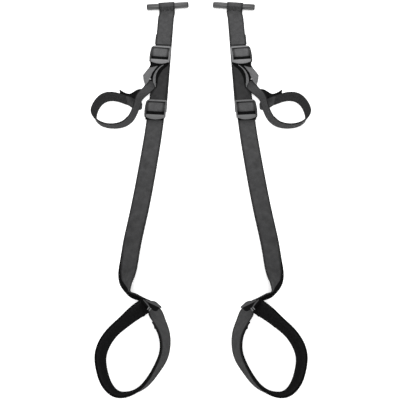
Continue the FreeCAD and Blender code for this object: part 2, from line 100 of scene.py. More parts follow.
# The straps' drawing has its own zero; the cuff's pivot says where it lies in the frame.
CUFF_PIVOT_Y = 312.0
joints = {joint["name"]: joint for joint in frame["joints"]}
lay_y = joints["left_cuff_swing"]["pos_m"][1] * 1000 - CUFF_PIVOT_Y
VIEW_SIDESTEP = -0.002
camera.location = (VIEW_SIDESTEP, lay_y / 1000 - VIEW_RANGE * math.cos(VIEW_TILT),
                   VIEW_RANGE * math.sin(VIEW_TILT))
camera.rotation_euler = (math.pi / 2 - VIEW_TILT, 0, 0)

# --- Anchor bars ---
# A short satin plastic tube with rounded ends and pressed-in plugs, turned like a
# rod; it lies behind the door and holds the webbing sleeve.
BAR_HEIGHT = 9.4
BAR_AT = (-84.5, 546.7, BAR_HEIGHT)
BAR_TILT = 4.6
BAR_RADIUS = 7.5
BAR_LENGTH = 107.0


def turned(angle, points):
    """Points turned about the vertical by an angle in degrees."""
    a = math.radians(angle)
    x, y, z = np.moveaxis(points, -1, 0)
    return np.stack([x * math.cos(a) - y * math.sin(a), x * math.sin(a) + y * math.cos(a), z], -1)


def unit(vectors):
    """Vectors scaled to length one."""
    return vectors / np.linalg.norm(vectors, axis=-1, keepdims=True)


def run_along(points):
    """The distance run along a chain of points, zero at the first one."""
    return np.concatenate([[0], np.cumsum(np.linalg.norm(np.diff(points, axis=0), axis=1))])


def upright(count):
    """The upward direction, once for each of a count of rows."""
    return np.tile([0.0, 0.0, 1.0], (count, 1))


def sampled(places, run, values):
    """Rows of values read off at places along their run, straight between neighbours."""
    return np.stack([np.interp(places, run, column) for column in values.T], -1)


def skin(rings, along, across):
    """A closed surface: quads between neighbouring rings and a fan over each end ring.
    It keeps a place along and across each point for the weave."""
    rows, points = rings.shape[:2]
    first = np.arange(rows * points).reshape(rows, points)
    second = np.roll(first, -1, axis=1)
    quads = np.stack([first[:-1], second[:-1], second[1:], first[1:]], -1).reshape(-1, 4)
    hub = rows * points
    front = np.stack([np.full(points, hub), second[0], first[0]], -1)
    back = np.stack([np.full(points, hub + 1), first[-1], second[-1]], -1)
    ends = np.array([rings[0].mean(0), rings[-1].mean(0)])
    places = np.concatenate([rings.reshape(-1, 3), ends])
    lay = np.stack([np.broadcast_to(across, (rows, points)).ravel(),
                    np.broadcast_to(along, (rows, points)).ravel()], -1)
    lay = np.concatenate([lay, [lay[:points].mean(0), lay[-points:].mean(0)]])
    corners = places[quads]
    spans = np.cross(corners[:, 2] - corners[:, 0], corners[:, 3] - corners[:, 1])
    inside_out = (corners.mean(1) * spans).sum() < 0
    faces = quads.tolist() + front.tolist() + back.tolist()
    if inside_out:
        faces = [face[::-1] for face in faces]
    return places, faces, lay


def lay_out(name, shells, material, body, stands_for=()):
    """Makes the left piece from its shells, and the right piece as its mirror image.
    Shells are in drawing millimetres."""
    places, faces, lays = [], [], []
    count = 0
    for shell_places, shell_faces, shell_lay in shells:
        places.append(shell_places)
        faces += [[corner + count for corner in face] for face in shell_faces]
        lays.append(shell_lay)
        count += len(shell_places)
    places = (np.concatenate(places) + (0, lay_y, 0)) / 1000
    lay = np.concatenate(lays) / 1000
    made = []
    for side, sign in (("left", 1), ("right", -1)):
        turned_faces = faces if sign > 0 else [face[::-1] for face in faces]
        mesh = bpy.data.meshes.new(f"{side}_{name}")
        mesh.from_pydata((places * (sign, 1, 1)).tolist(), [], turned_faces)
        corners = np.empty(len(mesh.loops), np.int32)
        mesh.loops.foreach_get("vertex_index", corners)
        mesh.uv_layers.new(name="lay").data.foreach_set("uv", lay[corners].astype(np.float32).ravel())
        mesh.shade_smooth()
        mesh.materials.append(material)
        piece = bpy.data.objects.new(f"{side}_{name}", mesh)
        scene.collection.objects.link(piece)
        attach(piece, f"{side}_{body}")
        if stands_for:
            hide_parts(*[f"{side}_{node}" for node in stands_for])
        made.append(piece)
    return made


def add_node(tree, kind, inputs=(), **settings):
    """A shader node with its settings; inputs are (socket, value or another node's output)."""
    node = tree.nodes.new(kind)
    for key, value in settings.items():
        setattr(node, key, value)
    for socket, value in inputs:
        if isinstance(value, bpy.types.NodeSocket):
            tree.links.new(value, node.inputs[socket])
        else:
            node.inputs[socket].default_value = value
    return node


def add_math(tree, operation, *values):
    """The output of a maths node over the given values or outputs."""
    return add_node(tree, "ShaderNodeMath", list(enumerate(values)), operation=operation).outputs[0]


def add_mix(tree, share, low, high, blend_type="MIX"):
    """The colour output of a mix between two colours or outputs."""
    mix = add_node(tree, "ShaderNodeMix", (), data_type="RGBA", blend_type=blend_type)
    for socket, value in ((0, share), (6, low), (7, high)):
        if isinstance(value, bpy.types.NodeSocket):
            tree.links.new(value, mix.inputs[socket])
        else:
            mix.inputs[socket].default_value = value
    return mix.outputs[2]


def add_tint(tree, colour, shade):
    """A colour multiplied by a shade."""
    return add_mix(tree, 1.0, colour, shade, "MULTIPLY")


def add_noise(tree, where, scale, detail, roughness=0.5):
    """The value of a noise texture over a place."""
    return add_node(tree, "ShaderNodeTexNoise", [("Vector", where), ("Scale", scale), ("Detail", detail),
                                                 ("Roughness", roughness)]).outputs["Fac"]


def add_range(tree, value, start, end, low=0.0, high=1.0, **settings):
    """A value carried from the range start to end over to the range low to high."""
    sockets = [("Value", value), ("From Min", start), ("From Max", end), ("To Min", low), ("To Max", high)]
    return add_node(tree, "ShaderNodeMapRange", sockets, **settings).outputs["Result"]


def add_relief(tree, shader, height, strength, depth):
    """A bump of a depth in metres from a height output, wired to the shader."""
    sockets = [("Strength", strength), ("Distance", depth), ("Height", height)]
    relief = add_node(tree, "ShaderNodeBump", sockets)
    tree.links.new(relief.outputs["Normal"], shader.inputs["Normal"])


def new_material(name, shine, roughness=0.5):
    """An empty material, its node tree and its shader."""
    material = bpy.data.materials.new(name)
    material.use_nodes = True
    shader = material.node_tree.nodes["Principled BSDF"]
    shader.inputs["Specular IOR Level"].default_value = shine
    shader.inputs["Roughness"].default_value = roughness
    return material, material.node_tree, shader


def grey(value):
    """A near-neutral colour of one value, its blue a touch higher."""
    return (value, value, value * 1.02, 1)


def new_group(name, sockets_in, sockets_out):
    """An empty node group with named float inputs and outputs, and its two end nodes."""
    group = bpy.data.node_groups.new(name, "ShaderNodeTree")
    for socket in sockets_in:
        group.interface.new_socket(socket, in_out="INPUT", socket_type="NodeSocketFloat")
    for socket in sockets_out:
        group.interface.new_socket(socket, in_out="OUTPUT", socket_type="NodeSocketFloat")
    return group, group.nodes.new("NodeGroupInput"), group.nodes.new("NodeGroupOutput")


def moulded_group():
    """Moulded plastic: fine grain as height, and faint scuffs as shade."""
    group, given, made = new_group("moulded_plastic", ["Grain Scale"], ["Height", "Shade"])
    where = add_node(group, "ShaderNodeTexCoord").outputs["Object"]
    scuffs = add_noise(group, where, 90.0, 6.0, 0.7)
    group.links.new(add_noise(group, where, given.outputs[0], 2.0), made.inputs["Height"])
    group.links.new(add_range(group, scuffs, 0.35, 0.7, 0.88, 1.1), made.inputs["Shade"])
    return group


MOULDED = moulded_group()


def plastic(name, colour, roughness, grain_scale, bump, shine=0.4):
    """Satin moulded plastic: grained bump, scuffed colour and roughness."""
    material, tree, shader = new_material(name, shine)
    marks = add_node(tree, "ShaderNodeGroup", [("Grain Scale", grain_scale)], node_tree=MOULDED)
    tree.links.new(add_tint(tree, grey(colour), marks.outputs["Shade"]), shader.inputs["Base Color"])
    tree.links.new(add_math(tree, "MULTIPLY_ADD", marks.outputs["Shade"], -0.25, roughness + 0.25),
                   shader.inputs["Roughness"])
    add_relief(tree, shader, marks.outputs["Height"], bump, 0.0003)
    return material


def placing(angle, at):
    """A function that moves points from a piece's own axes to where the piece lies."""
    return lambda local: turned(angle, local) + at


place_on_bar = placing(BAR_TILT, BAR_AT)


def turned_rod(profile, steps=56):
    """A profile of (place along the bar, radius) spun round the bar's axis."""
    profile = np.array(profile, float)
    around = np.linspace(0, 2 * math.pi, steps, endpoint=False)
    along = np.broadcast_to(profile[:, :1], (len(profile), steps))
    radius = profile[:, 1:]
    rings = np.stack([along, radius * np.cos(around), radius * np.sin(around)], -1)
    return skin(place_on_bar(rings), along, radius * around)


END_ROUND = 3.4
PLUG_SEAM = 2.4
quarter_turn = np.linspace(0, math.pi / 2, 9)
round_end = np.stack([BAR_LENGTH / 2 - END_ROUND + END_ROUND * np.cos(quarter_turn),
                      BAR_RADIUS - END_ROUND + END_ROUND * np.sin(quarter_turn)], -1)
seam_x = BAR_LENGTH / 2 - PLUG_SEAM
plug_profile = [(seam_x - 4.0, 3.0), (seam_x + 0.1, 3.0), (seam_x + 0.1, BAR_RADIUS - 0.35)]
plug_profile += [(x, min(r, BAR_RADIUS - 0.1)) for x, r in round_end[::-1].tolist() if x > seam_x + 0.2]
plug_profile += [(BAR_LENGTH / 2, 2.6), (BAR_LENGTH / 2 - 0.6, 2.2)]
half_tube = [(seam_x - 0.1, BAR_RADIUS - 0.7), (seam_x - 0.3, BAR_RADIUS - 0.2), (seam_x - 0.8, BAR_RADIUS),
             (22.0, BAR_RADIUS)]
tube_profile = half_tube + [(-x, r) for x, r in half_tube[::-1]]
bar_plastic = plastic("bar_plastic", 0.034, 0.36, 1400.0, 0.2, 0.5)
plug_plastic = plastic("plug_plastic", 0.012, 0.5, 1400.0, 0.2, 0.2)
lay_out("bar_tube", [turned_rod(tube_profile)], bar_plastic, "bar", ("anchor_bar",))
lay_out("bar_end_plugs", [turned_rod(plug_profile), turned_rod([(-x, r) for x, r in plug_profile])],
        plug_plastic, "bar", ("anchor_bar_plugs",))

# --- Hanger webbing ---
# One length of 40 mm webbing: it runs up from the lower buckle, round the bar as a
# sleeve, and comes down again as a stitched front tail with a folded hem.
WEB = 40.0
THICK = 1.6
HALF_THICK = THICK / 2
LAYER_GAP = 0.3
FRONT_MID = THICK * 1.5 + LAYER_GAP
HANGER_AT = (-87.0, 546.0, 0.0)
HANGER_LEAN = 2.3
SLEEVE_RADIUS = 8.6
SLEEVE_OFFSET = -2.6
TAIL_DROP = 120.5
BACK_DROP = 320.0
LEAD_DROP = 13.0
TAIL_STEP = 1.8
LOWER_BUCKLE_AT = (-105.0, 229.0, 0.0)
LOWER_LEAN = 3.2


def fibre_group():
    """Woven cloth: a chevron of yarns over the piece's own lay, faint mottling with painted
    shade in the hollows between the yarns, and how near a point is to the selvedge."""
    group, given, made = new_group("woven_cloth", ["Half Width", "Pick", "Column", "Contrast"],
                                   ["Height", "Shade", "Edge"])
    lay = add_node(group, "ShaderNodeUVMap", (), uv_map="lay").outputs[0]
    parts = add_node(group, "ShaderNodeSeparateXYZ", [(0, lay)])
    across, along = parts.outputs[0], parts.outputs[1]
    column = add_math(group, "DIVIDE", add_math(group, "PINGPONG", across, given.outputs["Column"]),
                      given.outputs["Column"])
    phase = add_math(group, "ADD", add_math(group, "DIVIDE", along, given.outputs["Pick"]), column)
    yarn = add_math(group, "SINE", add_math(group, "MULTIPLY", phase, 2 * math.pi))
    columns_out = add_math(group, "DIVIDE", across, given.outputs["Column"])
    warp = add_math(group, "SINE", add_math(group, "MULTIPLY", columns_out, 4 * math.pi))
    height = add_math(group, "MULTIPLY_ADD", yarn, 0.32, 0.5)
    height = add_math(group, "MULTIPLY_ADD", warp, 0.12, height)
    height = add_math(group, "MULTIPLY_ADD", add_noise(group, lay, 1500.0, 2.0), 0.3, height)
    mottle = add_range(group, add_noise(group, lay, 60.0, 5.0, 0.65), 0.3, 0.7, 0.72, 1.28)
    # Random mottling, times painted shade in the hollows between the yarns as deep as the Contrast.
    shade = add_math(group, "MULTIPLY", mottle,
                     add_math(group, "MULTIPLY_ADD", yarn, given.outputs["Contrast"], 0.96))
    # How near the selvedge: the materials darken this margin as painted shade.
    out = add_math(group, "DIVIDE", add_math(group, "ABSOLUTE", across), given.outputs["Half Width"])
    edge = add_range(group, out, 0.70, 0.93, interpolation_type="SMOOTHSTEP")
    for value, socket in ((height, "Height"), (shade, "Shade"), (edge, "Edge")):
        group.links.new(value, made.inputs[socket])
    return group


WOVEN = fibre_group()


def woven(name, core, edge, half_width, *, pick=1.9, column=2.4, bump=0.55, shine=0.1,
          shade_ramp=None, contrast=0.2):
    """Woven webbing: chevron weave in bump and in colour, its hollows painted shade, and the
    selvedges darkened towards the edge colour as painted shade. A painted shade ramp is given
    as the start and end of a stretch of the lay, and the share of the colour left after it;
    the colour darkens along that stretch and stays so beyond."""
    material, tree, shader = new_material(name, shine, 0.78)
    settings = [("Half Width", half_width / 1000), ("Pick", pick / 1000), ("Column", column / 1000),
                ("Contrast", contrast)]
    weave = add_node(tree, "ShaderNodeGroup", settings, node_tree=WOVEN)
    # The selvedges darken towards the edge colour: painted shade.
    base = add_mix(tree, weave.outputs["Edge"], grey(core), grey(edge))
    base = add_tint(tree, base, weave.outputs["Shade"])
    # Painted shade: the colour darkens over the ramp's stretch of the lay.
    if shade_ramp:
        start, end, left_over = shade_ramp
        lay = add_node(tree, "ShaderNodeUVMap", (), uv_map="lay").outputs[0]
        along = add_node(tree, "ShaderNodeSeparateXYZ", [(0, lay)]).outputs[1]
        base = add_tint(tree, base, add_range(tree, along, start / 1000, end / 1000, 1.0, left_over))
    tree.links.new(base, shader.inputs["Base Color"])
    add_relief(tree, shader, weave.outputs["Height"], bump, 0.0005)
    return material


EDGE_POINTS = 6
END_SQUASH = 0.35


def frames_between(left, right):
    """Frames of a band from its two edges. The middle is their mean, and the normal is the
    travel crossed with the direction across."""
    middle = (left + right) / 2
    across = unit(right - left)
    normal = unit(np.cross(np.gradient(middle, axis=0), across))
    return middle, across, normal, np.linalg.norm(right - left, axis=1)


def band(frames, under, over, width=None, swell=None, columns=18, corner=1.0):
    """A flat band with rounded edges carried along its frames.

    Frames are the middle, the direction across, the normal and the width at each row. A
    section point is middle + across * a + normal * n. Along the faces a runs straight from
    edge to edge at n = under or over, and half ellipses join the faces. Swell adds to n by
    share across, distance along and side, and the first and last row are squashed thin.
    """
    middle, across, normal, own_width = frames
    rows = len(middle)
    half = np.full(rows, width / 2) if width else own_width / 2
    half = half[:, None]
    thick = over - under
    radius = thick / 2 * corner
    share = np.linspace(-1, 1, columns + 1)
    flat = np.zeros(columns + 1)
    bend = np.linspace(0, math.pi, EDGE_POINTS + 2)[1:-1]
    edge_out = np.sin(bend)
    edge_up = np.cos(bend)
    a_share = np.concatenate([share, np.ones(EDGE_POINTS), share[::-1], -np.ones(EDGE_POINTS)])
    a_out = np.concatenate([flat, edge_out, flat, -edge_out])
    up = np.concatenate([flat + 1, edge_up, flat - 1, edge_up[::-1]])
    squash = np.ones((rows, 1))
    squash[[0, -1]] = END_SQUASH
    a = a_share * (half - radius) + a_out * radius * squash
    n = (over + under) / 2 + up * thick / 2 * squash
    distance = run_along(middle)[:, None]
    if swell is not None:
        n = n + swell(a_share[None, :], distance, up[None, :])
    rings = middle[:, None] + across[:, None] * a[..., None] + normal[:, None] * n[..., None]
    return skin(rings, distance, a)


def ribbon_path(profile, step):
    """Points every step along a chain of (y, z) corners."""
    profile = np.array(profile, float)
    run = run_along(profile)
    return sampled(np.arange(0, run[-1], step), run, profile)


def eased(path, neighbours):
    """A path smoothed with a mean over its neighbours on each side, its ends repeated."""
    padded_path = np.concatenate([np.repeat(path[:1], neighbours, 0), path,
                                  np.repeat(path[-1:], neighbours, 0)])
    window = np.ones(2 * neighbours + 1) / (2 * neighbours + 1)
    return np.stack([np.convolve(padded_path[:, k], window, "valid") for k in range(path.shape[1])], -1)


def smoothly(value, low, high):
    """0 below low and 1 above high, with a smooth step between."""
    t = np.clip((value - low) / (high - low), 0, 1)
    return t * t * (3 - 2 * t)


# The tail leaves the sleeve along the line from its lead point that just touches the circle.
spread = math.hypot(LEAD_DROP, BAR_HEIGHT - FRONT_MID)
touch = math.pi + math.atan2(BAR_HEIGHT - FRONT_MID, LEAD_DROP) - math.acos(SLEEVE_RADIUS / spread)
sweep = np.linspace(touch, -math.pi / 2, 60)
wrap = np.stack([SLEEVE_RADIUS * np.cos(sweep), BAR_HEIGHT + SLEEVE_RADIUS * np.sin(sweep)], -1).tolist()
hanger_profile = [(-TAIL_DROP, FRONT_MID), (-LEAD_DROP, FRONT_MID)] + wrap + [(-BACK_DROP, HALF_THICK)]
hanger_path = ribbon_path(hanger_profile, 1.0)
softened = eased(hanger_path, 4)
ease_share = smoothly(-hanger_path[:, :1], 7.0, 14.0)
hanger_path = hanger_path * (1 - ease_share) + softened * ease_share
place_on_hanger = placing(-HANGER_LEAN, HANGER_AT)


def hanger_surface(x, path, lift=0.0):
    """Points at a place x across the hanger: near the bar they follow its tilt, and further
    down the hanger's lean, with a smooth share of each between."""
    y, z = path[:, 0], path[:, 1] + lift
    local = np.stack([np.broadcast_to(x, y.shape), y, z], -1)
    on_hanger = place_on_hanger(local)
    on_bar = place_on_bar(local + (SLEEVE_OFFSET, 0, -BAR_HEIGHT))
    share = smoothly(-y, 10.0, 34.0)[:, None]
    return on_hanger * share + on_bar * (1 - share)


def hanger_frames():
    """Frames of the hanger webbing from its two edges; the tail's left edge steps out."""
    drop = -hanger_path[:, 0]
    on_tail = hanger_path[:, 1] > THICK
    left = hanger_surface(-WEB / 2 - TAIL_STEP * smoothly(drop, 87.0, 90.0) * on_tail, hanger_path)
    middle, across, normal, width = frames_between(left, hanger_surface(WEB / 2, hanger_path))
    return middle, across, -normal, width


def hanger_swell(share, distance, up):
    """Puckers where the tail leaves the bar: short waves across that die away from 20 mm
    below it, a dent 13 mm below it, and a faint long wave down the tail."""
    below = TAIL_DROP - distance
    ripples = 0.55 * np.sin(9.0 * share + 0.8) + 0.3 * np.sin(17.0 * share)
    pucker = np.exp(-((below - 20.0) / 6.0) ** 2) * ripples
    pucker = pucker - 0.5 * np.exp(-((below - 13.0) / 2.5) ** 2)
    wave = 0.16 * np.sin(distance / 8.5 + 1.3 * share) * smoothly(below, 28.0, 45.0)
    return pucker + wave * (distance < TAIL_DROP)


ROW_POINTS = 12
HEM = 9.0
HEM_OVERHANG = 0.4


def hem_shell():
    """The hem: the tail's last stretch folded up on itself."""
    y = np.linspace(-TAIL_DROP - HEM_OVERHANG, -TAIL_DROP + HEM, ROW_POINTS)
    left, right = (place_on_hanger(np.column_stack([np.full(ROW_POINTS, x), y,
                                                    np.full(ROW_POINTS, FRONT_MID + THICK)]))
                   for x in (-WEB / 2, WEB / 2))
    middle, across, normal, width = frames_between(left, right)
    return band((middle, across, -normal, width), -HALF_THICK, HALF_THICK + 0.1)


hanger_webbing = woven("hanger_webbing", 0.052, 0.020, WEB / 2)
lay_out("hanger_webbing", [band(hanger_frames(), -HALF_THICK, HALF_THICK, swell=hanger_swell), hem_shell()],
        hanger_webbing, "strap", ("hanger_strap",))

# --- Hanger stitching ---
# Bonded thread through both layers: a crossed box below the bar, bar tacks further
# down and a row along the hem. Each stitch is a small raised bead of thread.
STITCH_PITCH = 3.4
STITCH_LENGTH = 2.6
STITCH_WIDTH = 0.8
STITCH_HEIGHT = 0.55


def stitch_rows(paths, normals):
    """Stitches along paths: one small closed bead at every pitch, each an ellipse in plan
    whose half thickness follows the square root of one minus the squared place along it."""
    shells = []
    lengthwise = np.linspace(-1, 1, 6)
    around = np.linspace(0, 2 * math.pi, 8, endpoint=False)
    girth = np.sqrt(np.clip(1 - lengthwise ** 2 * 0.97, 0, 1))
    for path, normal in zip(paths, normals):
        run = run_along(path)
        count = max(1, int(run[-1] / STITCH_PITCH))
        spots = (np.arange(count) + 0.5) * run[-1] / count
        at = sampled(spots, run, path)
        up = unit(sampled(spots, run, normal))
        heading = unit(sampled(spots + 0.5, run, path) - sampled(spots - 0.5, run, path))
        side = np.cross(up, heading)
        for middle, ahead_way, side_way, up_way in zip(at, heading, side, up):
            rings = (middle + ahead_way * (lengthwise * STITCH_LENGTH / 2)[:, None, None]
                     + side_way * (girth[:, None] * np.cos(around) * STITCH_WIDTH / 2)[..., None]
                     + up_way * (girth[:, None] * np.sin(around) * STITCH_HEIGHT / 2)[..., None])
            shells.append(skin(rings, lengthwise[:, None], around))
    return shells


def flat_row(start, end, place, height):
    """A straight row between two (x, y) places on a flat layer at a height."""
    steps = np.linspace(0, 1, ROW_POINTS)[:, None]
    points = np.array(start, float) * (1 - steps) + np.array(end, float) * steps
    path = place(np.column_stack([points, np.full(ROW_POINTS, height)]))
    return path, upright(ROW_POINTS)


def tail_row(start, end, height=FRONT_MID + HALF_THICK):
    """A straight row on the tail, at the height of its outer face."""
    return flat_row(start, end, place_on_hanger, height)


thread = plastic("thread", 0.045, 0.6, 2500.0, 0.2, 0.2)
# Near-black thread for the rows under the sleeve: painted shadow of the gathers there.
shadow_thread = plastic("shadow_thread", 0.008, 0.8, 2500.0, 0.2, 0.0)
STITCH_REACH = WEB / 2 - 3.0
BOX_TOP = -30.0
BOX_FOOT = -61.0
HEM_ROW = -114.0
box_corners = [(-STITCH_REACH, BOX_TOP), (STITCH_REACH, BOX_TOP), (STITCH_REACH, BOX_FOOT),
               (-STITCH_REACH, BOX_FOOT)]
rows = [tail_row(box_corners[a], box_corners[b]) for a, b in ((0, 1), (1, 2), (2, 3), (3, 0), (0, 2), (1, 3))]
rows += [tail_row((-STITCH_REACH, -drop), (STITCH_REACH, -drop)) for drop in (92.0, 93.4, 97.0, 107.0)]
rows.append(tail_row((-STITCH_REACH, HEM_ROW), (STITCH_REACH, HEM_ROW), FRONT_MID + THICK * 1.5 + 0.1))
lay_out("hanger_stitching", stitch_rows(*zip(*rows)), thread, "strap", ("hanger_stitching",))


LEAD_STEP = 0.4
LEAD_PROUD = 1.7


def lead_row(drop, start, end):
    """A row across the steep lead under the bar, a step down and proud of the webbing's
    middle so that it lies on the outer face."""
    lead = hanger_path[:hanger_path[:, 1].argmax()][::-1]
    height = np.interp(drop, -lead[:, 0], lead[:, 1])
    spot = np.array([[-drop - LEAD_STEP, height + LEAD_PROUD]])
    path = np.concatenate([hanger_surface(x, spot) for x in np.linspace(start, end, ROW_POINTS)])
    return path, np.tile([0.0, -0.7, 0.7], (ROW_POINTS, 1))


# Rows of tack stitching under the sleeve in near-black thread, a painted shadow of the gathers; the broken
# rows further down leave it deepest at the sides.
shadow_tack_rows = [lead_row(drop, start, end) for drop, start, end in (
    (7.6, -18.5, 18.5), (8.5, -18.5, 18.5), (9.4, -18.5, 18.5), (10.3, -18.5, 18.5), (11.2, -18.0, 18.0),
    (12.1, -17.0, -7.0), (12.1, -3.0, 5.0), (12.1, 9.0, 17.0), (13.0, -16.0, -11.0), (13.0, 11.0, 16.0))]
lay_out("sleeve_tack_shadow", stitch_rows(*zip(*shadow_tack_rows)), shadow_thread, "strap")

# --- Ladder-lock adjusters ---
# Moulded nylon: two side rails, a top bar, a hidden cross bar and a thumb tab with a
# bowed free edge. The webbing climbs over the cross bar and dives under the tab.
RAIL_Y = (-20.0, 27.0)
SLOT_HALF = WEB / 2 + 0.8
RAIL_WIDTH = 4.2
RAIL_BASE = 3.8
BAR_BASE = 5.7
TAB_START = -13.2
TAB_RISE = 14.0
TAB_EDGE = -20.8
TAB_BOW = 7.8
TAB_ROWS = 33
TAB_HALF_THICK = 1.3
TAB_MIDDLE = BAR_BASE + 1.2
UPPER_BUCKLE_AT = (-99.2, 389.7, 0.0)
UPPER_LEAN = 4.6


MOULDED_ROWS = 24


def moulded_bar(place, start, end, half_width, low, high, bow=0.0):
    """A straight moulded bar with rounded edges between two points of the buckle, bowed
    sideways in a parabola."""
    share = np.linspace(-1, 1, MOULDED_ROWS)[:, None]
    start, end = np.array(start, float), np.array(end, float)
    heading = unit(end - start)
    side = np.array([heading[1], -heading[0], 0.0])
    middle = (start + end) / 2 + (end - start) / 2 * share + side * (bow * (1 - share ** 2))
    origin = place(np.zeros((1, 3)))[0]
    across = place(np.tile(side, (MOULDED_ROWS, 1))) - origin
    frames = (place(middle), across, upright(MOULDED_ROWS), None)
    return band(frames, low, high, 2 * half_width, columns=6, corner=0.9)


def thumb_tab(place):
    """The tab: rows across the buckle, each from the slot to the bowed free edge, raised
    towards that edge by its rise, with a shallow dish for the thumb."""
    share = np.linspace(-1, 1, TAB_ROWS)
    x = share * (SLOT_HALF + 1.0) + 0.8
    free_y = TAB_EDGE - TAB_BOW * (1 - np.abs(share) ** 2.2)
    lift = math.tan(math.radians(TAB_RISE))
    low = np.column_stack([x, free_y, TAB_MIDDLE + (TAB_START - free_y) * lift])
    high = np.column_stack([x, 0 * x + TAB_START, 0 * x + TAB_MIDDLE])

    def dish(part, distance, up):
        """The thumb's hollow: a product of two parabolas on the upper face."""
        span = distance / distance.max() * 2 - 1
        return -0.7 * (1 - part ** 2) * (1 - span ** 2) * (up > 0)

    return band(frames_between(place(low), place(high)), -TAB_HALF_THICK, TAB_HALF_THICK, swell=dish,
                columns=12, corner=0.95)


def buckle_shells(place):
    """Inner rail, top bar, cross bar, slot edge and thumb tab of one ladder lock."""
    rail_x = SLOT_HALF + RAIL_WIDTH / 2
    bars = (
        ((rail_x - 0.3, RAIL_Y[0], 0), (rail_x, RAIL_Y[1], 0), 1.9, RAIL_BASE, 8.6, -0.4),
        ((-rail_x + 1.5, 25.2, 0), (rail_x + 0.8, 25.2, 0), 2.5, 5.6, 9.2, -0.5),
        ((-rail_x, 8.5, 0), (rail_x, 8.5, 0), 6.6, 4.6, 6.6),
        ((-rail_x + 1.0, TAB_START - 2.0, 0), (rail_x, TAB_START - 2.0, 0), 2.0, 5.0, 8.2),
    )
    return [moulded_bar(place, *bar) for bar in bars] + [thumb_tab(place)]


def outer_rail(place):
    """The rail on the side away from the other strap; it bulges and sits against the webbing, and takes a
    near-black plastic as painted shade.
    """
    rail_x = SLOT_HALF + 1.0
    foot, head = (-rail_x, RAIL_Y[0] - 1.0, 0), (-rail_x + 0.4, RAIL_Y[1] - 1.0, 0)
    return [moulded_bar(place, foot, head, 2.4, RAIL_BASE, 7.4, bow=-1.8)]


TURN_STEP = 1.6
TURN_PATH = [(20.8, 4.9), (19.8, 6.6), (17.4, 8.0), (13.0, 8.5), (7.0, 8.7), (2.0, 8.3), (-0.6, 7.3),
             (-2.0, 5.6), (-2.6, 4.8)]


def smooth_line(points, count):
    """A natural cubic spline through the points, its parameter the distance between them,
    sampled at even steps."""
    p = np.asarray(points, float)
    t = run_along(p)
    h = np.diff(t)
    n = len(p)
    system = np.eye(n)
    known = np.zeros_like(p)
    row = np.arange(1, n - 1)
    system[row, row - 1] = h[:-1]
    system[row, row] = 2 * (h[:-1] + h[1:])
    system[row, row + 1] = h[1:]
    known[1:-1] = 6 * np.diff(np.diff(p, axis=0) / h[:, None], axis=0)
    bends = np.linalg.solve(system, known)
    s = np.linspace(0, t[-1], count)
    k = np.clip(np.searchsorted(t, s, side="right") - 1, 0, n - 2)
    span = h[k][:, None]
    before = (s - t[k])[:, None]
    after = span - before
    return (bends[k] * after ** 3 + bends[k + 1] * before ** 3) / (6 * span) + (
        p[k] / span - bends[k] * span / 6) * after + (p[k + 1] / span - bends[k + 1] * span / 6) * before


def turn_shell(place, path):
    """Webbing inside a buckle: its side profile drawn across the buckle."""
    rows = len(path)
    left = place(np.column_stack([np.full(rows, -WEB / 2 - TURN_STEP), path]))
    right = place(np.column_stack([np.full(rows, WEB / 2), path]))
    middle, across, normal, width = frames_between(left, right)
    normal = normal * np.sign(normal[:, 2:])

    def sag(share, distance, up):
        """Slanting waves that die out at the edges, and edges that droop."""
        return 0.35 * np.sin(distance / 1.9 + 1.2 * share) * (1 - share ** 2) - 0.3 * share ** 4

    return band((middle, across, normal, width), -HALF_THICK, HALF_THICK, swell=sag)


# The two ladder locks are one plastic in two brightnesses: the upper painted lighter, painted light, and the
# lower darker, painted shade.
upper_plastic = plastic("upper_buckle_plastic_lit", 0.128, 0.42, 900.0, 0.3, 0.3)
lower_plastic = plastic("lower_buckle_plastic_shaded", 0.078, 0.44, 900.0, 0.3, 0.25)
# The outer rails are the buckle plastic painted near-black: painted shade on the side turned from the light.
rail_plastic = plastic("outer_rail_shaded_plastic", 0.018, 0.5, 900.0, 0.3, 0.2)
# The webbing over each cross bar is a lighter copy of the strap's webbing, painted light: more on the upper
# buckle than on the lower.
turn_webbing = woven("turn_webbing", 0.082, 0.030, WEB / 2, contrast=0.3)
lower_turn_webbing = woven("lower_turn_webbing", 0.058, 0.024, WEB / 2, contrast=0.25)
# Near-black webbing with no shine, for pieces that stand in shade: painted shade.
shade_black_webbing = woven("shade_black_webbing", 0.005, 0.004, WEB / 2, shine=0.0)
crown_path = smooth_line(TURN_PATH, 64)
# The webbing diving through each buckle's slot is painted near-black as shade.
SLOT_ROWS = 40
SLOT_HEIGHT = 4.4
slot_path = np.column_stack([np.linspace(-26.0, 27.0, SLOT_ROWS), np.full(SLOT_ROWS, SLOT_HEIGHT)])
for level, lean, at, body_plastic, crown_webbing in (
        ("upper", UPPER_LEAN, UPPER_BUCKLE_AT, upper_plastic, turn_webbing),
        ("lower", LOWER_LEAN, LOWER_BUCKLE_AT, lower_plastic, lower_turn_webbing)):
    place = placing(-lean, at)
    body = level + "_adjuster"
    lay_out(level + "_ladder_lock", buckle_shells(place), body_plastic, body,
            (level + "_buckle",))
    lay_out(level + "_outer_rail", outer_rail(place), rail_plastic, body)
    lay_out(level + "_turn", [turn_shell(place, crown_path)], crown_webbing, body,
            (level + "_webbing_turn",))
    lay_out(level + "_slot_webbing", [turn_shell(place, slot_path)], shade_black_webbing, body)

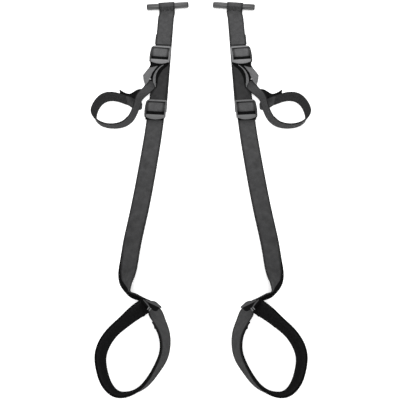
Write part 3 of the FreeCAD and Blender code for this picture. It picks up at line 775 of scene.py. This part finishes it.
# --- Long webbing runs ---
# The front run lies flat from under the upper adjuster, then rolls on edge into the
#  knot. A second run lies under it, near-black as painted shade, and shows as a dark edge along the outer
#  side.
STRAP_LINE = [(-92.9, 400.2), (-97.8, 314.8), (-103.4, 229.5), (-108.2, 170.0), (-119.6, 65.0)]
STRAP_ROLL = [
    ((-152.4, -38.0, 2.7), (-113.6, -39.0, 6.0)),
    ((-160.2, -95.0, 2.7), (-122.3, -97.0, 12.0)),
    ((-162.2, -138.0, 2.8), (-126.8, -140.0, 16.0)),
    ((-162.0, -162.0, 3.4), (-129.4, -168.0, 22.0)),
    ((-159.6, -179.5, 3.6), (-133.4, -187.5, 29.0)),
    ((-155.4, -193.5, 3.6), (-136.6, -203.0, 34.0)),
    ((-147.5, -208.0, 3.2), (-136.4, -215.5, 37.5)),
    ((-131.0, -216.5, 3.0), (-127.0, -220.0, 38.5)),
    ((-115.0, -224.5, 3.0), (-112.5, -227.5, 38.5)),
    ((-98.5, -233.0, 3.0), (-97.0, -234.5, 38.5)),
]
SECOND_ROLL = [
    ((-153.0, -38.0, 0.9), (-113.6, -39.0, 0.9)),
    ((-161.8, -95.0, 0.9), (-122.6, -97.0, 4.0)),
    ((-166.0, -138.0, 1.0), (-127.4, -140.0, 7.0)),
    ((-168.0, -165.0, 1.2), (-131.0, -169.0, 10.0)),
    ((-166.4, -179.0, 1.2), (-136.0, -187.0, 14.0)),
    ((-161.6, -192.5, 1.2), (-142.0, -201.5, 20.0)),
    ((-153.5, -203.5, 1.2), (-143.0, -213.0, 25.0)),
    ((-141.5, -215.5, 1.2), (-135.0, -220.5, 30.0)),
    ((-127.5, -221.5, 1.4), (-117.0, -227.0, 33.0)),
    ((-110.0, -228.5, 2.0), (-102.0, -233.5, 34.0)),
]


def straight_line(points, count):
    """Even steps along a chain of straight stretches, eased over its neighbours."""
    p = np.asarray(points, float)
    run = run_along(p)
    return eased(sampled(np.linspace(0, run[-1], count), run, p), 1)


def edge_frames(pairs, count, under, over, least_half=0.0, line=smooth_line):
    """Frames along a band whose two edges each follow a line through their points. The
    middle is lifted until the stack from under to over clears the ground."""
    both = line([list(low) + list(high) for low, high in pairs], count)
    middle, across, normal, width = frames_between(both[:, :3], both[:, 3:])
    side = np.maximum(width / 2, least_half)
    depth = np.max([np.abs(across[:, 2]) * side - normal[:, 2] * o for o in (under, over)], axis=0)
    middle[:, 2] += np.maximum(0, depth - middle[:, 2])
    return middle, across, normal, width


def flat_pairs(line, height):
    """Edge pairs of flat webbing along a centre line at a height, low edge on the left."""
    line = np.array(line, float)
    travel = unit(np.gradient(line, axis=0))
    side = np.column_stack([travel[:, 1], -travel[:, 0]]) * WEB / 2
    return [((a[0], a[1], height), (b[0], b[1], height)) for a, b in zip(line + side, line - side)]


def strap_swell(share, distance, up):
    """Soft diagonal creases below the lower buckle and short ones where the run starts to
    roll, with a slow wave between. Over the stretch that the lower adjuster slides along,
    nothing stands more than a few hundredths proud."""
    below_buckle = np.exp(-((distance - 225.0) / 26.0) ** 2)
    rolling = np.exp(-((distance - 575.0) / 22.0) ** 2)
    crease = 0.45 * below_buckle * np.sin(distance / 7.0 - 2.6 * share)
    ripple = 0.5 * rolling * np.sin(distance / 3.4 + 3.5 * np.abs(share - 0.2))
    wave = 0.18 * np.sin(distance / 31.0 + share) * smoothly(distance, 230.0, 300.0)
    proud = 0.06 + 0.5 * smoothly(distance, 300.0, 340.0)
    return np.clip(crease + ripple + wave, -0.5, proud)


strap_pairs = flat_pairs(STRAP_LINE, FRONT_MID) + STRAP_ROLL
STRAP_ROWS = 330
ROLL_LIFT = 0.9
ROOM_BELOW = 2.7
strap_frames = edge_frames(strap_pairs, STRAP_ROWS, -ROOM_BELOW, HALF_THICK, WEB / 2 + 1.0)
# The run between the adjusters is a darker copy of the long run's webbing: painted shade.
shaded_middle_webbing = woven("shaded_middle_webbing", 0.022, 0.010, WEB / 2)
# Painted shade: the long run darkens to 0.62 of its colour over its first 380 mm and stays so.
long_webbing = woven("long_webbing", 0.046, 0.019, WEB / 2, shade_ramp=(0, 380, 0.62))
strap_frames[0][:, 2] += ROLL_LIFT * smoothly(np.arange(STRAP_ROWS), 250, 290)


def part_of(frames, start, end):
    """The rows of some frames between two places."""
    return tuple(values[start:end] for values in frames)


# The front run changes at this row, which lies under the lower buckle, from a darker copy of its webbing,
# painted shade, to the long run's webbing.
UNDER_BUCKLE = 86
ROW_PITCH = np.linalg.norm(np.diff(strap_frames[0], axis=0), axis=1).mean()


def lower_swell(share, distance, up):
    """The swell of the run below the lower buckle, counted from the run's own start."""
    return strap_swell(share, distance + UNDER_BUCKLE * ROW_PITCH, up)


middle_run = part_of(strap_frames, 0, UNDER_BUCKLE + 1)
long_run = part_of(strap_frames, UNDER_BUCKLE, STRAP_ROWS)
lay_out("middle_strap", [band(middle_run, -HALF_THICK, HALF_THICK, WEB, columns=22)], shaded_middle_webbing,
        "strap", ("front_strap",))
lay_out("long_strap", [band(long_run, -HALF_THICK, HALF_THICK, WEB, swell=lower_swell, columns=22)],
        long_webbing, "strap")
# The second run starts at this row, hidden under the lower buckle.
BACK_START = 92
back_pairs = flat_pairs(STRAP_LINE, HALF_THICK) + SECOND_ROLL
back_frames = edge_frames(back_pairs, STRAP_ROWS, -HALF_THICK, HALF_THICK, WEB / 2)
# Real webbing, painted near-black as shade.
lay_out("second_run", [band(part_of(back_frames, BACK_START, STRAP_ROWS), -HALF_THICK, HALF_THICK)],
        shade_black_webbing, "strap", ("back_strap",))

# --- Cuff connector ---
# A short wide length of webbing sewn under the upper adjuster, folded in two and
#  pinched by a bar tack where the cuff band leaves it. A near-black ply under the tab and between the folds
#  is painted shade.
CONNECTOR_OUTER = [
    ((-126.0, 351.0, 5.8), (-104.0, 357.5, 6.5)),
    ((-130.0, 343.0, 7.5), (-110.0, 346.0, 8.5)),
    ((-138.5, 327.0, 9.0), (-116.0, 333.0, 11.0)),
    ((-136.0, 311.0, 10.5), (-120.0, 315.0, 13.5)),
    ((-131.0, 294.0, 13.5), (-125.5, 301.0, 14.5)),
]
CONNECTOR_INNER = [
    ((-91.0, 360.5, 8.0), (-89.6, 359.3, 7.0)),
    ((-101.5, 347.0, 11.5), (-99.9, 345.4, 10.0)),
    ((-109.0, 333.0, 13.0), (-106.4, 331.0, 9.5)),
    ((-113.0, 318.0, 14.0), (-107.8, 315.0, 9.0)),
    ((-112.5, 303.0, 14.5), (-107.0, 291.0, 9.0)),
]
# A near-black ply laid under the tab and between the two folds: painted shade.
CONNECTOR_SHADE_PLY = [
    ((-121.5, 372.0, 4.6), (-80.0, 374.0, 4.6)),
    ((-123.0, 359.0, 4.6), (-78.5, 363.0, 4.6)),
    ((-126.0, 349.0, 5.0), (-88.0, 352.0, 4.6)),
    ((-118.0, 336.0, 5.6), (-96.0, 339.0, 4.6)),
    ((-122.0, 322.0, 6.0), (-102.0, 323.0, 4.6)),
    ((-123.0, 306.0, 7.0), (-103.5, 306.0, 4.6)),
    ((-121.0, 296.0, 7.0), (-105.5, 293.0, 4.6)),
]
connector_webbing = woven("connector_webbing", 0.105, 0.075, WEB / 2, pick=4.4, column=9.0, bump=0.9,
                          contrast=0.4)
for name, pairs, line in (("connector_outer", CONNECTOR_OUTER, straight_line),
                          ("connector_inner", CONNECTOR_INNER, smooth_line)):
    frames = edge_frames(pairs, 60, -HALF_THICK, HALF_THICK, line=line)
    lay_out(name, [band(frames, -HALF_THICK, HALF_THICK)], connector_webbing, "cuff_carriage",
            (name + "_fold",))
shade_ply_frames = edge_frames(CONNECTOR_SHADE_PLY, 60, -THICK / 4, THICK / 4)
lay_out("connector_shade_ply", [band(shade_ply_frames, -THICK / 4, THICK / 4)], shade_black_webbing,
        "cuff_carriage")


def tack_patch(at, size, turn_angle, rows_of_thread):
    """A bar tack: parallel beads of thread side by side in a small turned rectangle."""
    length, depth = size
    paths = []
    for offset in np.linspace(-depth / 2, depth / 2, rows_of_thread):
        ends = np.array([[-length / 2, offset, 0.0], [0, offset, 0.25], [length / 2, offset, 0.0]])
        paths.append(turned(turn_angle, ends) + at)
    return stitch_rows(paths, [upright(3)] * len(paths))


# The connector's tack is much lighter thread than the rest: a painted highlight.
highlight_thread = plastic("highlight_thread", 0.36, 0.5, 2500.0, 0.2, 0.3)
dull_thread = plastic("dull_thread", 0.15, 0.55, 2500.0, 0.2, 0.2)
lay_out("connector_bar_tack", tack_patch((-119.8, 311.0, 15.4), (6.0, 3.2), 55.0, 6), highlight_thread,
        "cuff_carriage", ("connector_tack",))

# --- Hand cuff ---
# A narrow band that rings the wrist and passes under itself, with brushed loop fabric
# inside, fine hook tape outside and a row of thread along each edge.
CUFF_WIDTH = 25.0
CUFF_HALF = 0.7
PILE_GAP = 0.15
PILE_TOP = 1.7
HOOK_WIDTH = 21.0
CUFF_BAND = [
    ((-107.0, 306.0, 6.0), (-124.0, 314.0, 8.0)),
    ((-109.5, 297.0, 6.0), (-127.0, 303.0, 9.0)),
    ((-115.5, 284.0, 8.5), (-133.5, 286.0, 14.0)),
    ((-127.0, 271.0, 9.5), (-142.5, 270.5, 20.0)),
    ((-138.0, 256.5, 8.0), (-150.0, 252.0, 24.0)),
    ((-142.5, 238.0, 5.5), (-154.5, 231.0, 24.0)),
    ((-149.0, 217.0, 3.0), (-161.0, 211.0, 22.0)),
    ((-161.0, 196.5, 0.8), (-171.0, 193.0, 22.0)),
    ((-180.0, 184.5, 0.8), (-183.0, 182.0, 25.0)),
    ((-205.0, 182.5, 0.8), (-202.0, 178.0, 25.0)),
    ((-228.0, 189.5, 0.8), (-225.0, 183.0, 25.0)),
    ((-242.0, 206.0, 0.8), (-244.0, 199.0, 24.0)),
    ((-241.0, 226.0, 0.8), (-252.0, 220.0, 22.0)),
    ((-233.0, 246.0, 0.8), (-244.0, 246.0, 22.0)),
    ((-219.0, 257.0, 0.8), (-227.0, 265.0, 23.0)),
    ((-201.0, 258.0, 0.8), (-205.0, 268.0, 24.0)),
    ((-183.0, 253.0, 0.8), (-186.0, 263.0, 23.0)),
    ((-167.0, 245.5, 0.8), (-168.5, 258.0, 15.5)),
    ((-154.0, 238.0, 0.8), (-152.5, 259.0, 3.5)),
    ((-137.0, 231.0, 1.0), (-136.5, 255.0, 1.0)),
]
CUFF_ROWS = 380
cuff_frames = edge_frames(CUFF_BAND, CUFF_ROWS, -1.6, 2.6, CUFF_WIDTH / 2)
cuff_webbing = woven("cuff_webbing", 0.040, 0.010, CUFF_WIDTH / 2, pick=2.2, column=2.4, contrast=0.3)
# The band's free end is rounded over this last share of a station.
END_SHARE = 0.35
last_rows = np.linspace(0, 1, CUFF_ROWS) * (len(CUFF_BAND) - 1) - (len(CUFF_BAND) - 1 - END_SHARE)
cuff_widths = CUFF_WIDTH * np.sqrt(1 - 0.75 * np.clip(last_rows / END_SHARE, 0, 1) ** 2)
cuff_frames = cuff_frames[:3] + (cuff_widths,)


def row_at(station, stations, rows):
    """The row that lies at a station's share of a band."""
    return int(station / (stations - 1) * (rows - 1))


def cuff_row(station):
    """The cuff band's row at one of its stations."""
    return row_at(station, len(CUFF_BAND), CUFF_ROWS)


lay_out("cuff_band_webbing", [band(cuff_frames, -CUFF_HALF, CUFF_HALF, columns=14)], cuff_webbing,
        "cuff", ("cuff_band",))


def pile_group():
    """Brushed pile: clumped fibres as height, and painted shade in the hollows between the clumps."""
    group, given, made = new_group("brushed_pile", ["Clump Scale"], ["Height", "Shade"])
    where = add_node(group, "ShaderNodeTexCoord").outputs["Object"]
    clumps = add_noise(group, where, given.outputs[0], 6.0, 0.75)
    tuft_scale = add_math(group, "MULTIPLY", given.outputs[0], 3.0)
    tufts = add_node(group, "ShaderNodeTexVoronoi", [("Vector", where), ("Scale", tuft_scale)])
    height = add_math(group, "MULTIPLY_ADD", tufts.outputs["Distance"], 0.5, clumps)
    group.links.new(height, made.inputs["Height"])
    group.links.new(add_range(group, clumps, 0.35, 0.68, 0.6, 1.5), made.inputs["Shade"])
    return group


PILE = pile_group()


def pile(name, colour, clump_scale, bump, shine):
    """Brushed fabric: clumped colour and relief, with next to no shine."""
    material, tree, shader = new_material(name, shine, 0.95)
    nap = add_node(tree, "ShaderNodeGroup", [("Clump Scale", clump_scale)], node_tree=PILE)
    tree.links.new(add_tint(tree, grey(colour), nap.outputs["Shade"]), shader.inputs["Base Color"])
    add_relief(tree, shader, nap.outputs["Height"], bump, 0.0012)
    return material


cuff_pile = pile("cuff_pile", 0.026, 420.0, 0.7, 0.0)
tab_pile = pile("tab_pile", 0.008, 420.0, 0.7, 0.0)
hook_cloth = pile("hook_cloth", 0.048, 700.0, 0.9, 0.05)
ring = part_of(cuff_frames, cuff_row(6), cuff_row(17))
tape = part_of(cuff_frames, cuff_row(1), cuff_row(10))
inner_pile = band(ring, CUFF_HALF + PILE_GAP, CUFF_HALF + PILE_TOP, CUFF_WIDTH - 0.6, columns=14)
lay_out("cuff_inner_pile", [inner_pile], cuff_pile, "cuff", ("cuff_lining",))
hook_strip = band(tape, -CUFF_HALF - 0.9, -CUFF_HALF - 0.02, HOOK_WIDTH, columns=12)
lay_out("cuff_hook_strip", [hook_strip], hook_cloth, "cuff", ("cuff_hook_tape",))


def edge_rows(frames, width, margin, height):
    """Rows of thread a margin from both edges of a band, at a height off its middle."""
    middle, across, normal, _ = frames
    paths = [middle + across * side + normal * height for side in (margin - width / 2, width / 2 - margin)]
    return paths, [normal * math.copysign(1, height)] * 2


lay_out("cuff_edge_stitching", stitch_rows(*edge_rows(ring, CUFF_WIDTH, 1.3, -CUFF_HALF - 0.05)), thread,
        "cuff", ("cuff_stitching",))

# --- Closure tab ---
# The free end of the cuff: a short tab that bows up off the ring, hook tape inside.
CUFF_TAB = [
    ((-142.0, 267.0, 1.0), (-138.0, 289.0, 4.0)),
    ((-156.0, 262.0, 1.0), (-154.5, 268.5, 20.0)),
    ((-168.0, 261.5, 1.2), (-166.5, 261.0, 25.0)),
    ((-179.0, 264.0, 2.0), (-178.0, 264.5, 26.0)),
    ((-190.0, 271.0, 3.0), (-189.0, 272.0, 27.0)),
]
tab_frames = edge_frames(CUFF_TAB, 60, -CUFF_HALF, 2.0, CUFF_WIDTH / 2)
tab_webbing = woven("tab_webbing", 0.016, 0.006, CUFF_WIDTH / 2, pick=1.5, column=1.8, shine=0.0)
lay_out("closure_tab", [band(tab_frames, -CUFF_HALF, CUFF_HALF, CUFF_WIDTH, columns=14)], tab_webbing,
        "closure_tab", ("cuff_tab",))
tab_hooks = band(part_of(tab_frames, 12, 58), CUFF_HALF + 0.1, CUFF_HALF + 1.2, HOOK_WIDTH, columns=12)
lay_out("closure_tab_hooks", [tab_hooks], tab_pile, "closure_tab", ("cuff_tab_tape",))

# --- Foot loop ---
# A ring of 40 mm webbing standing on edge, its inside padded with dark plush that is
# sewn down along both edges, closed by a knot and a tack at the top.
LOOP_STATIONS = [
    (-104.0, -229.0, -0.10),
    (-91.0, -232.0, -0.50),
    (-79.0, -242.0, -0.68),
    (-71.0, -259.0, -0.66),
    (-62.0, -284.0, -0.52),
    (-59.5, -310.0, -0.38),
    (-65.0, -337.0, -0.25),
    (-79.5, -361.0, -0.12),
    (-101.0, -386.0, 0.04),
    (-126.0, -398.5, 0.20),
    (-150.0, -399.5, 0.27),
    (-168.0, -384.0, 0.30),
    (-178.5, -360.0, 0.31),
    (-183.0, -334.0, 0.30),
    (-177.0, -311.0, 0.28),
    (-163.5, -290.0, 0.24),
    (-147.0, -275.5, 0.28),
    (-128.0, -261.5, 0.40),
    (-101.5, -245.0, 0.50),
]
LOOP_ROWS = 300
LINING = 6.0
PAD_END = 16.0
PAD_END_THICK = 0.9


def loop_pairs():
    """Edge pairs of the loop: the low edge on the ground, the high edge out by its lean."""
    stations = np.array(LOOP_STATIONS)
    travel = unit(np.gradient(stations[:, :2], axis=0))
    outwards = np.column_stack([-travel[:, 1], travel[:, 0]])
    lean = stations[:, 2:]
    high = np.column_stack([stations[:, :2] + outwards * lean * WEB, WEB * np.sqrt(1 - lean ** 2)])
    low = np.column_stack([stations[:, :2], 0 * lean])
    return list(zip(low.tolist(), high.tolist()))


loop_frames = edge_frames(loop_pairs(), LOOP_ROWS, -THICK - 0.4, LINING + 0.35)
# Painted shade: the loop webbing darkens from 40 to 190 mm along its lay and stays dark beyond.
loop_webbing = woven("loop_webbing", 0.038, 0.012, WEB / 2, shade_ramp=(40, 190, 0.28))
lay_out("foot_loop_webbing", [band(loop_frames, -THICK, 0.0, WEB, columns=20)], loop_webbing,
        "foot_loop", ("loop_webbing",))
plush = pile("plush", 0.0085, 330.0, 0.9, 0.0)
lining_start = row_at(2, len(LOOP_STATIONS), LOOP_ROWS)
lining_frames = part_of(loop_frames, lining_start, LOOP_ROWS)


def plush_swell(share, distance, up):
    """The padding: pinched near both sewn edges, with soft creases where it bends, and
    thinned out towards its two ends."""
    edge_pinch = -1.4 * np.exp(-((1 - np.abs(share)) / 0.16) ** 2)
    crease = 0.35 * np.sin(distance / 6.3 + 1.5 * share) * (1 - share ** 2)
    from_end = np.minimum(distance, distance.max() - distance)
    thinned = -(LINING - PAD_END_THICK) * (1 - smoothly(from_end, 0.0, PAD_END))
    return (np.where(from_end > PAD_END, edge_pinch + crease, 0.3 * crease) + thinned) * (up > 0)


pad_shell = band(lining_frames, 0.2, LINING, WEB - 0.6, swell=plush_swell, columns=24)
pads = lay_out("foot_loop_padding", [pad_shell], plush, "foot_loop", ("loop_lining",))
lay_out("foot_loop_stitching", stitch_rows(*edge_rows(lining_frames, WEB, 3.0, -THICK - 0.1)), thread,
        "foot_loop", ("loop_stitching",))

# --- Loop knot ---
# The webbing's short free end lies over the top of the loop, and a patch of thread
#  holds the end of the padding. A near-black core in the knot and a thin sheet under the free end are painted
#  shade.
KNOT_TAIL = [
    ((-106.0, -231.5, 41.6), (-106.5, -234.5, 41.4)),
    ((-96.5, -235.0, 41.6), (-97.0, -239.5, 41.2)),
    ((-87.0, -237.5, 41.4), (-89.0, -243.5, 40.8)),
    ((-74.5, -246.5, 40.8), (-76.5, -249.0, 40.4)),
]
KNOT_CREASE = [
    ((-110.0, -231.0, 40.0), (-111.5, -232.5, 40.0)),
    ((-103.0, -238.5, 40.4), (-105.0, -240.0, 40.4)),
    ((-95.5, -248.5, 39.6), (-97.5, -249.5, 39.6)),
]
tail_frames = edge_frames(KNOT_TAIL, 30, 0.0, THICK)
knot_webbing = woven("knot_webbing", 0.046, 0.03, 8.0)
lay_out("knot_free_end", [band(tail_frames, 0.0, THICK),
                          band(edge_frames(KNOT_CREASE, 20, 0.0, HALF_THICK), 0.0, HALF_THICK)],
        knot_webbing, "foot_loop", ("knot_tail",))
# The near-black core stands for webbing folded inside the knot, painted in shade; the thin near-black sheet
# under the free end is a painted shadow.
KNOT_CORE = [
    ((-114.0, -229.5, 2.0), (-113.5, -231.0, 37.0)),
    ((-104.0, -237.0, 2.0), (-103.5, -238.0, 38.5)),
    ((-96.0, -245.0, 2.0), (-94.0, -246.0, 36.0)),
]
KNOT_TAIL_SHADOW = [
    ((-102.0, -235.0, 40.2), (-98.5, -245.0, 40.2)),
    ((-92.0, -234.5, 40.4), (-92.5, -252.0, 39.8)),
    ((-84.0, -238.0, 40.4), (-86.0, -254.5, 39.4)),
    ((-78.0, -245.5, 39.8), (-80.5, -250.5, 39.0)),
]
core_frames = edge_frames(KNOT_CORE, 24, 0.0, 8.0)
lay_out("knot_core", [band(core_frames, -5.5, 5.5), band(edge_frames(KNOT_TAIL_SHADOW, 24, 0.0, 1.0), -0.5, 0.5)],
        shade_black_webbing, "foot_loop")
lay_out("loop_bar_tack", tack_patch((-98.6, -250.4, 40.6), (8.4, 5.6), -35.0, 7), dull_thread,
        "foot_loop", ("loop_tack",))
